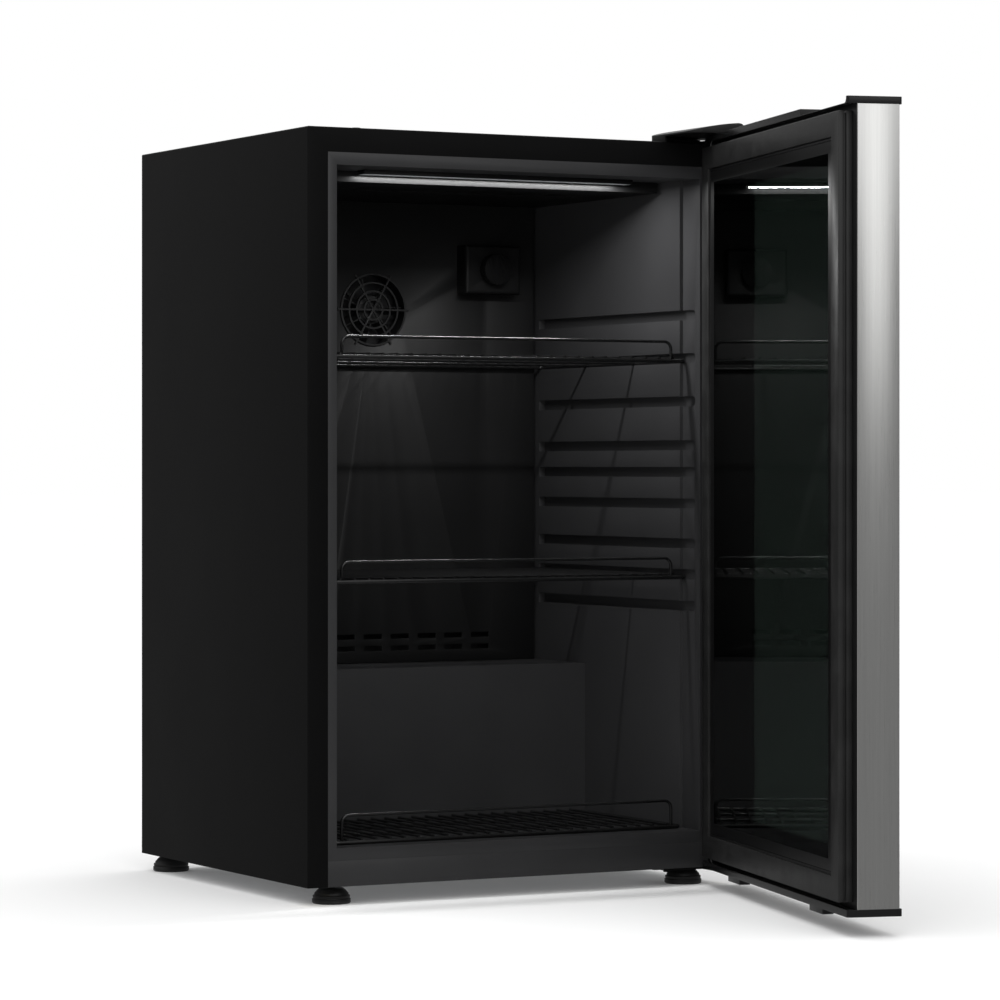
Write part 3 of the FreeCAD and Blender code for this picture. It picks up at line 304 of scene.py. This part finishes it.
def galvanised(name, tone, roughness=0.42):
    """Hot-dip zinc: spangles of several greys, with fine scratches."""
    s = Surface(name, Metallic=0.9)
    spangle = s.cells(95, output="Color")
    edge = s.cells(95)
    scratch = s.noise(1.0, 2.0, (1800, 1800, 60))
    s.set(Base_Color=s.tint(shade(tone, 0.72), shade(tone, 1.12), 0.7 * spangle + 0.3 * scratch),
          Roughness=roughness + 0.18 * (spangle - 0.5))
    s.relief(0.5 * edge + 0.5 * scratch, 0.00001)
    return s.material


def rubbery(name, tone, roughness=0.6):
    """Moulded rubber: matt, with fine grain and a greyish bloom."""
    s = Surface(name, Specular_IOR_Level=0.3)
    bloom = s.steps(s.noise(38, 5.0), (0.42, 0.0), (0.75, 1.0))
    grain = s.noise(2300, 2.0)
    s.set(Base_Color=s.tint(tone, shade(tone, 2.0), 0.5 * bloom + 0.2 * grain),
          Roughness=roughness + 0.12 * (bloom - 0.5))
    s.relief(grain, 0.00003)
    return s.material


def tarnished(name, tone, dull, roughness=0.28):
    """Drawn metal tube or bar with patches of tarnish."""
    s = Surface(name, Metallic=1.0)
    patch = s.steps(s.noise(46, 5.0, roughness=0.6), (0.38, 0.0), (0.70, 1.0))
    draw = s.noise(900, 2.0)
    s.set(Base_Color=s.tint(tone, dull, 0.8 * patch + 0.1 * draw),
          Roughness=roughness + 0.30 * patch + 0.08 * (draw - 0.5))
    s.relief(draw, 0.000008)
    return s.material


def foamed(name):
    """Rigid polyurethane fill: pale yellow, with open cells."""
    s = Surface(name, Specular_IOR_Level=0.2)
    cell = s.cells(700)
    slow = s.noise(20, 3.0)
    s.set(Base_Color=s.tint((0.62, 0.50, 0.26), (0.80, 0.70, 0.44), 0.6 * slow + 0.4 * cell),
          Roughness=0.85 + 0.1 * (cell - 0.5))
    s.relief(cell, 0.0003)
    return s.material


def pane(name, tone):
    """Tinted toughened glass with a trace of wipe marks."""
    s = Surface(name, Transmission_Weight=1.0, IOR=1.5, Base_Color=tone)
    wipe = s.noise(1.0, 3.0, (18, 18, 5))
    s.set(Roughness=0.012 + 0.02 * s.steps(wipe, (0.5, 0.0), (0.8, 1.0)))
    return s.material


def diffuser(name, tone):
    """Frosted lamp cover, lit from behind."""
    s = Surface(name, Base_Color=(0.75, 0.78, 0.8), Emission_Strength=0.06, Alpha=0.5)
    frost = s.noise(800, 2.0)
    s.set(Roughness=0.4 + 0.2 * (frost - 0.5), Emission_Color=s.tint(shade(tone, 0.8), tone, frost))
    s.relief(frost, 0.00003)
    return s.material


def diode(name, tone):
    """Lit face of a diode."""
    s = Surface(name, Base_Color=(0.8, 0.8, 0.7), Emission_Strength=16.0)
    glow = s.noise(600, 1.0)
    s.set(Roughness=0.4 + 0.1 * glow, Emission_Color=s.tint(shade(tone, 0.9), tone, glow))
    return s.material


FINISHES = {}


def finish(key):
    """The finish of that name, made when it is first asked for."""
    tones = bpy.context.scene.fridge_colours
    makers = {
        "shell_enamel": lambda n: enamel(n, tones.shell, 0.46),
        "bracket_enamel": lambda n: enamel(n, shade(tones.shell, 1.2), 0.42, 0.00004),
        "liner_plastic": lambda n: moulding(n, tones.liner, 0.34, 900, 0.00002, 0.20),
        "satin_plastic": lambda n: moulding(n, tones.plastic, 0.42),
        "gloss_plastic": lambda n: moulding(n, tones.plastic, 0.20, 1100, 0.00001, 0.25),
        "dark_plastic": lambda n: moulding(n, shade(tones.plastic, 0.6), 0.5),
        "gasket_rubber": lambda n: rubbery(n, shade(tones.rubber, 1.1), 0.45),
        "foot_rubber": lambda n: rubbery(n, shade(tones.rubber, 0.55), 0.52),
        "wire_coating": lambda n: enamel(n, tones.wire, 0.22, 0.00001, 0.5),
        "compressor_enamel": lambda n: enamel(n, shade(tones.shell, 1.3), 0.3, 0.00006, 0.5),
        "casing_steel": lambda n: brushed(n, tones.casing, 0.30),
        "polished_steel": lambda n: brushed(n, (0.80, 0.80, 0.79), 0.14),
        "black_print": lambda n: enamel(n, shade(tones.plastic, 0.5), 0.34, 0.00001, 0.3),
        "hinge_steel": lambda n: tarnished(n, (0.55, 0.55, 0.54), (0.30, 0.29, 0.28), 0.3),
        "zinc_sheet": lambda n: galvanised(n, tones.zinc),
        "copper_tube": lambda n: tarnished(n, tones.copper, (0.33, 0.15, 0.10)),
        "roll_bond_plate": lambda n: brushed(n, (0.62, 0.63, 0.64), 0.38, (9, 900, 900), 0.00001),
        "foam_fill": foamed,
        "outer_pane": lambda n: pane(n, tones.glass),
        "inner_pane": lambda n: pane(n, tones.glass),
        "lamp_diffuser": lambda n: diffuser(n, tones.lamp),
        "lamp_board": lambda n: moulding(n, (0.70, 0.72, 0.70), 0.5),
        "lamp_diode": lambda n: diode(n, tones.lamp),
        "pale_plastic": lambda n: moulding(n, (0.62, 0.62, 0.60), 0.35),
    }
    if key not in FINISHES:
        FINISHES[key] = makers[key](key)
    return FINISHES[key]


# ---- meshes --------------------------------------------------------------------------------------

def welded(node):
    """A CAD node's mesh with its loose triangles joined and its flat faces whole."""
    bm = bmesh.new()
    bm.from_mesh(NODES[node].data)
    bmesh.ops.remove_doubles(bm, verts=bm.verts, dist=WELD)
    bmesh.ops.dissolve_limit(bm, angle_limit=FLAT, use_dissolve_boundaries=False,
                             verts=bm.verts, edges=bm.edges)
    return bm


def rounded(bm, width, segments):
    """Rounds every sharp edge."""
    if width:
        edges = [e for e in bm.edges if len(e.link_faces) == 2 and e.calc_face_angle(0) > SHARP]
        bmesh.ops.bevel(bm, geom=edges, offset=width, offset_type="OFFSET", affect="EDGES",
                        segments=segments, profile=0.5, material=-1, clamp_overlap=True,
                        loop_slide=True)
    return bm


def block(bm, low, high):
    """Adds a box between two corners."""
    made = bmesh.ops.create_cube(bm, size=1.0)["verts"]
    low, high = Vector(low), Vector(high)
    bmesh.ops.scale(bm, vec=high - low, verts=made)
    bmesh.ops.translate(bm, vec=(low + high) / 2, verts=made)


def shut_box(node):
    """(lowest, highest) corner of a door node with the door shut."""
    back = DOOR_TURN.inverted()
    places = [back @ v.co for v in NODES[node].data.vertices]
    return tuple(Vector(tuple(pick(p[i] for p in places) for i in range(3))) for pick in (min, max))


def turned_with_door(bm):
    """Turns a mesh made for the shut door to where the door stands."""
    bmesh.ops.transform(bm, matrix=DOOR_TURN, verts=bm.verts)


def publish(bm, name, material, body, nodes=()):
    """Makes the mesh an object in the row frame that rides on a body and stands for CAD nodes."""
    if not bm.faces:
        raise RuntimeError(name + " has no faces")
    mesh = bpy.data.meshes.new(name)
    bm.to_mesh(mesh)
    bm.free()
    mesh.shade_smooth()
    mesh.set_sharp_from_angle(angle=SHARP)
    mesh.materials.append(finish(material))
    piece = bpy.data.objects.new(name, mesh)
    bpy.context.scene.collection.objects.link(piece)
    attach(piece, body)
    if nodes:
        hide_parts(*nodes)


def refine(node, material, edge=0.0, segments=2, name=None):
    """Replaces a CAD node with its own shape, welded, edge-rounded and smooth over its curves."""
    source = NODES[node]
    bm = rounded(welded(node), edge, segments)
    publish(bm, name or node + "_finished", material, source["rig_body"], (node,))


def keep(node, material):
    """Leaves a CAD node's shape as it is and gives it its finish."""
    mesh = NODES[node].data
    mesh.materials.clear()
    mesh.materials.append(finish(material))


def stage_piece(bm, name, surface):
    """Makes the mesh an object of the stage, which isn't part of the fridge."""
    mesh = bpy.data.meshes.new(name)
    bm.to_mesh(mesh)
    bm.free()
    mesh.materials.append(surface.material)
    piece = bpy.data.objects.new(name, mesh)
    bpy.context.scene.collection.objects.link(piece)
    return piece


# ---- operators -----------------------------------------------------------------------------------

class FRIDGE_OT_stage(bpy.types.Operator):
    """Floor, lights and camera"""
    bl_idname = "fridge.stage"
    bl_label = "Stage"

    def floor(self, level):
        bm = bmesh.new()
        bmesh.ops.create_grid(bm, x_segments=1, y_segments=1, size=FLOOR_SIZE)
        bmesh.ops.translate(bm, vec=(0, 0, level), verts=bm.verts)
        s = Surface("studio_floor", Specular_IOR_Level=0.0, Emission_Color=(1, 1, 1),
                    Emission_Strength=0.04)
        mottle = s.noise(3, 3.0)
        s.set(Base_Color=s.tint((0.955, 0.955, 0.955), (0.97, 0.97, 0.97), mottle),
              Roughness=0.7 + 0.1 * (mottle - 0.5))
        stage_piece(bm, "floor", s)

    def world(self, scene):
        world = bpy.data.worlds.new("studio")
        world.use_nodes = True
        background = world.node_tree.nodes["Background"]
        background.inputs["Color"].default_value = (1, 1, 1, 1)
        background.inputs["Strength"].default_value = 1.0
        scene.world = world

    def reflection_tent(self, floor_level):
        """Grey cards all round, which only glossy surfaces see, as round a polished product."""
        bm = bmesh.new()
        rim = bmesh.ops.create_circle(bm, cap_ends=True, segments=64, radius=TENT_RADIUS)["verts"]
        bmesh.ops.translate(bm, vec=(0, 0, floor_level + TENT_LIFT), verts=rim)
        made = bmesh.ops.extrude_edge_only(bm, edges=bm.edges[:])["geom"]
        top = [v for v in made if isinstance(v, bmesh.types.BMVert)]
        bmesh.ops.translate(bm, vec=(0, 0, TENT_HEIGHT), verts=top)
        s = Surface("grey_card", Base_Color=(0, 0, 0), Specular_IOR_Level=0.0,
                    Emission_Strength=0.26)
        card = s.noise(0.4, 2.0)
        s.set(Emission_Color=s.tint((0.9, 0.9, 0.9), (1.0, 1.0, 1.0), card))
        tent = stage_piece(bm, "reflection_tent", s)
        for ray in ("camera", "diffuse", "transmission", "volume_scatter", "shadow"):
            setattr(tent, "visible_" + ray, False)

    def lights(self, scene):
        """The studio's lights, and the light that the fridge's own lamp gives."""
        low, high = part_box("lamp_lens")
        middle = (low + high) / 2
        glow = ("lamp_glow", (middle.x, middle.y, low.z - LAMP_GLOW_GAP),
                (middle.x, middle.y, 0), (high.x - low.x, high.y - low.y), LAMP_GLOW_POWER)
        for name, place, aim, size, power in (*LIGHTS, glow):
            lamp = bpy.data.lights.new(name, "AREA")
            lamp.shape = "RECTANGLE"
            lamp.energy = power
            lamp.size, lamp.size_y = size
            holder = bpy.data.objects.new(name, lamp)
            holder.location = place
            turn = (Vector(aim) - Vector(place)).to_track_quat("-Z", "Y")
            holder.rotation_euler = turn.to_euler()
            holder.visible_camera = False
            scene.collection.objects.link(holder)

    def camera(self, scene):
        lens = bpy.data.cameras.new("camera")
        lens.lens = CAMERA_LENS
        lens.sensor_width = CAMERA_SENSOR
        lens.shift_y = CAMERA_SHIFT
        lens.clip_end = CAMERA_REACH
        camera = bpy.data.objects.new("camera", lens)
        camera.location = CAMERA_PLACE
        camera.rotation_euler = CAMERA_TURN
        scene.collection.objects.link(camera)
        scene.camera = camera
        scene.view_settings.view_transform = "Standard"

    def execute(self, context):
        scene = context.scene
        floor_level = CAD_BOX[0].z
        self.floor(floor_level)
        self.world(scene)
        self.reflection_tent(floor_level)
        self.lights(scene)
        self.camera(scene)
        return {"FINISHED"}


class FRIDGE_OT_cabinet(bpy.types.Operator):
    """Outer sheet, back, floor pan and the foam inside them"""
    bl_idname = "fridge.cabinet"
    bl_label = "Cabinet"

    def execute(self, context):
        sizes = context.scene.fridge_sizes
        refine("cabinet_wrapper", "shell_enamel", sizes.sheet_edge, 3, name="wrapper_sheet")
        for node in ("back_panel", "bay_partition", "base_pan"):
            refine(node, "zinc_sheet", sizes.metal_edge)
        refine("front_crossbar", "liner_plastic", sizes.plastic_edge)
        refine("hinge_hole_plugs", "satin_plastic", sizes.metal_edge)
        keep("foam_insulation", "foam_fill")
        keep("foot_nuts", "zinc_sheet")
        return {"FINISHED"}


class FRIDGE_OT_liner(bpy.types.Operator):
    """Moulded liner with its shelf grooves"""
    bl_idname = "fridge.liner"
    bl_label = "Liner"

    def execute(self, context):
        refine("inner_liner", "liner_plastic", context.scene.fridge_sizes.plastic_edge)
        return {"FINISHED"}


class FRIDGE_OT_shelves(bpy.types.Operator):
    """Wire shelves, floor rack and their guard rails"""
    bl_idname = "fridge.shelves"
    bl_label = "Wire shelves"

    def execute(self, context):
        for place in ("upper_shelf", "lower_shelf", "bottom_rack"):
            for part in ("deck", "rail"):
                refine(f"{place}_{part}", "wire_coating")
        return {"FINISHED"}


class FRIDGE_OT_lamp(bpy.types.Operator):
    """Ceiling lamp: housing, board, diodes and cover"""
    bl_idname = "fridge.lamp"
    bl_label = "Cavity lamp"

    def execute(self, context):
        sizes = context.scene.fridge_sizes
        refine("lamp_housing", "gloss_plastic", sizes.metal_edge)
        refine("led_strip", "lamp_board")
        refine("lamp_lens", "lamp_diffuser", sizes.metal_edge)
        low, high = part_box("led_strip")
        count = int((high.x - low.x) / sizes.diode_pitch)
        half = sizes.diode_size / 2
        bm = bmesh.new()
        for i in range(count):
            x = (low.x + high.x) / 2 + (i - (count - 1) / 2) * sizes.diode_pitch
            y = (low.y + high.y) / 2
            block(bm, (x - half, y - half, low.z - DIODE_SINK),
                  (x + half, y + half, low.z + DIODE_DEPTH))
        publish(bm, "lamp_diodes", "lamp_diode", "cabinet")
        return {"FINISHED"}


class FRIDGE_OT_airway(bpy.types.Operator):
    """Ceiling duct, rear duct cover, fan and evaporator plate"""
    bl_idname = "fridge.airway"
    bl_label = "Air ducts and fan"

    def execute(self, context):
        sizes = context.scene.fridge_sizes
        refine("ceiling_duct", "satin_plastic", sizes.metal_edge)
        refine("rear_duct_cover", "satin_plastic", sizes.metal_edge)
        for node in ("fan_frame", "fan_guard", "fan_rotor"):
            refine(node, "satin_plastic", sizes.metal_edge, 1)
        refine("evaporator", "roll_bond_plate")
        return {"FINISHED"}


class FRIDGE_OT_thermostat(bpy.types.Operator):
    """Thermostat housing, switch and knob"""
    bl_idname = "fridge.thermostat"
    bl_label = "Thermostat"

    def execute(self, context):
        edge = context.scene.fridge_sizes.metal_edge
        refine("thermostat_housing", "satin_plastic", edge)
        refine("thermostat_switch", "dark_plastic", edge)
        refine("thermostat_knob", "gloss_plastic", edge)
        return {"FINISHED"}


class FRIDGE_OT_machine_bay(bpy.types.Operator):
    """Compressor with its mountings, and the pan over it"""
    bl_idname = "fridge.machine_bay"
    bl_label = "Machine bay"

    def execute(self, context):
        edge = context.scene.fridge_sizes.metal_edge
        refine("compressor", "compressor_enamel")
        refine("compressor_base_plate", "zinc_sheet", edge)
        refine("compressor_grommets", "gasket_rubber")
        refine("compressor_bolts", "zinc_sheet")
        refine("relay_cover", "dark_plastic", edge)
        refine("evaporation_pan", "dark_plastic", edge)
        refine("drain_tube", "gasket_rubber")
        refine("cord_gland", "gasket_rubber")
        return {"FINISHED"}


class FRIDGE_OT_refrigerant(bpy.types.Operator):
    """Condenser, drier and refrigerant lines"""
    bl_idname = "fridge.refrigerant"
    bl_label = "Refrigerant circuit"

    def execute(self, context):
        edge = context.scene.fridge_sizes.metal_edge
        refine("condenser_coil", "wire_coating")
        refine("condenser_wires", "wire_coating")
        refine("condenser_brackets", "zinc_sheet", edge)
        for node in ("filter_drier", "discharge_line", "suction_line", "capillary_tube"):
            refine(node, "copper_tube")
        return {"FINISHED"}


class FRIDGE_OT_feet(bpy.types.Operator):
    """Four screw feet"""
    bl_idname = "fridge.feet"
    bl_label = "Feet"

    def execute(self, context):
        for node in ("front_foot_left", "front_foot_right", "rear_feet"):
            refine(node, "foot_rubber")
        return {"FINISHED"}


class FRIDGE_OT_hinges(bpy.types.Operator):
    """Hinge brackets, pins, screws, bushes and the cover over the top hinge"""
    bl_idname = "fridge.hinges"
    bl_label = "Hinges"

    def execute(self, context):
        sizes = context.scene.fridge_sizes
        for node in ("top_hinge_bracket", "bottom_hinge_bracket"):
            refine(node, "bracket_enamel", sizes.metal_edge)
        for node in ("top_hinge_pin", "bottom_hinge_pin"):
            refine(node, "hinge_steel")
        refine("hinge_screws", "bracket_enamel")
        refine("hinge_bushes", "pale_plastic")
        refine("top_hinge_cover", "satin_plastic", sizes.plastic_edge)
        return {"FINISHED"}


class FRIDGE_OT_door_casing(bpy.types.Operator):
    """Door frame, stainless casing and end caps"""
    bl_idname = "fridge.door_casing"
    bl_label = "Door casing"

    def execute(self, context):
        sizes = context.scene.fridge_sizes
        refine("door_frame", "satin_plastic", sizes.plastic_edge)
        refine("door_trim", "casing_steel", sizes.metal_edge)
        refine("door_top_cap", "gloss_plastic", sizes.cap_edge, 4)
        refine("door_bottom_cap", "gloss_plastic", sizes.cap_edge, 4)
        low, high = shut_box("door_trim")
        r = sizes.bead_radius
        bm = bmesh.new()
        for x in (low.x + r, high.x - r):
            made = bmesh.ops.create_cone(bm, cap_ends=True, segments=16, radius1=r, radius2=r,
                                         depth=high.z - low.z)["verts"]
            bmesh.ops.translate(bm, vec=(x, high.y - r / 2, (low.z + high.z) / 2), verts=made)
        turned_with_door(bm)
        publish(bm, "casing_hem_beads", "polished_steel", "door")
        return {"FINISHED"}


class FRIDGE_OT_door_glass(bpy.types.Operator):
    """Two tinted panes, the seal between them and the printed border"""
    bl_idname = "fridge.door_glass"
    bl_label = "Door glass"

    def printed_border(self, sizes):
        """Black print round the inner pane."""
        low, high = shut_box("inner_glass")
        bm = bmesh.new()
        corners = bmesh.ops.create_grid(bm, x_segments=1, y_segments=1, size=0.5)["verts"]
        bmesh.ops.scale(bm, verts=corners, vec=(high.x - low.x - PRINT_MARGIN,
                                                high.z - low.z - PRINT_MARGIN, 1))
        face = bm.faces[:]
        bmesh.ops.inset_individual(bm, faces=face, thickness=sizes.print_width,
                                   use_even_offset=True)
        bmesh.ops.delete(bm, geom=face, context="FACES_ONLY")
        bmesh.ops.rotate(bm, matrix=Matrix.Rotation(math.radians(90), 3, "X"), verts=bm.verts)
        bmesh.ops.translate(bm, verts=bm.verts, vec=((low.x + high.x) / 2, high.y + PRINT_GAP,
                                                     (low.z + high.z) / 2))
        bmesh.ops.recalc_face_normals(bm, faces=bm.faces)
        bmesh.ops.solidify(bm, geom=bm.faces[:], thickness=PRINT_THICKNESS)
        turned_with_door(bm)
        publish(bm, "inner_pane_print", "black_print", "door")

    def execute(self, context):
        edge = context.scene.fridge_sizes.glass_edge
        refine("outer_glass", "outer_pane", edge, 1)
        refine("inner_glass", "inner_pane", edge, 1)
        refine("glazing_seal", "gasket_rubber")
        self.printed_border(context.scene.fridge_sizes)
        return {"FINISHED"}


class FRIDGE_OT_gasket(bpy.types.Operator):
    """Magnetic door gasket"""
    bl_idname = "fridge.gasket"
    bl_label = "Door gasket"

    def execute(self, context):
        refine("door_gasket", "gasket_rubber", context.scene.fridge_sizes.rubber_edge)
        return {"FINISHED"}


class FRIDGE_PT_pieces(bpy.types.Panel):
    """Lists the fridge's pieces, sizes and colours"""
    bl_label = "Mini Fridge"
    bl_space_type = "VIEW_3D"
    bl_region_type = "UI"
    bl_category = "Mini Fridge"

    def draw(self, context):
        for operator in OPERATORS:
            self.layout.operator(operator.bl_idname)
        for group in (context.scene.fridge_sizes, context.scene.fridge_colours):
            column = self.layout.column()
            for key in group.bl_rna.properties.keys():
                if key not in ("rna_type", "name"):
                    column.prop(group, key)


OPERATORS = (
    FRIDGE_OT_stage, FRIDGE_OT_cabinet, FRIDGE_OT_liner, FRIDGE_OT_shelves, FRIDGE_OT_lamp,
    FRIDGE_OT_airway, FRIDGE_OT_thermostat, FRIDGE_OT_machine_bay, FRIDGE_OT_refrigerant,
    FRIDGE_OT_feet, FRIDGE_OT_hinges, FRIDGE_OT_door_casing, FRIDGE_OT_door_glass,
    FRIDGE_OT_gasket)
CLASSES = (FridgeSizes, FridgeColours, *OPERATORS, FRIDGE_PT_pieces)


def register():
    for cls in CLASSES:
        bpy.utils.register_class(cls)
    bpy.types.Scene.fridge_sizes = PointerProperty(type=FridgeSizes)
    bpy.types.Scene.fridge_colours = PointerProperty(type=FridgeColours)


def unregister():
    del bpy.types.Scene.fridge_sizes
    del bpy.types.Scene.fridge_colours
    for cls in reversed(CLASSES):
        bpy.utils.unregister_class(cls)


def main():
    register()
    for operator in OPERATORS:
        getattr(bpy.ops.fridge, operator.bl_idname.split(".")[1])()


if __name__ == "__main__":
    main()
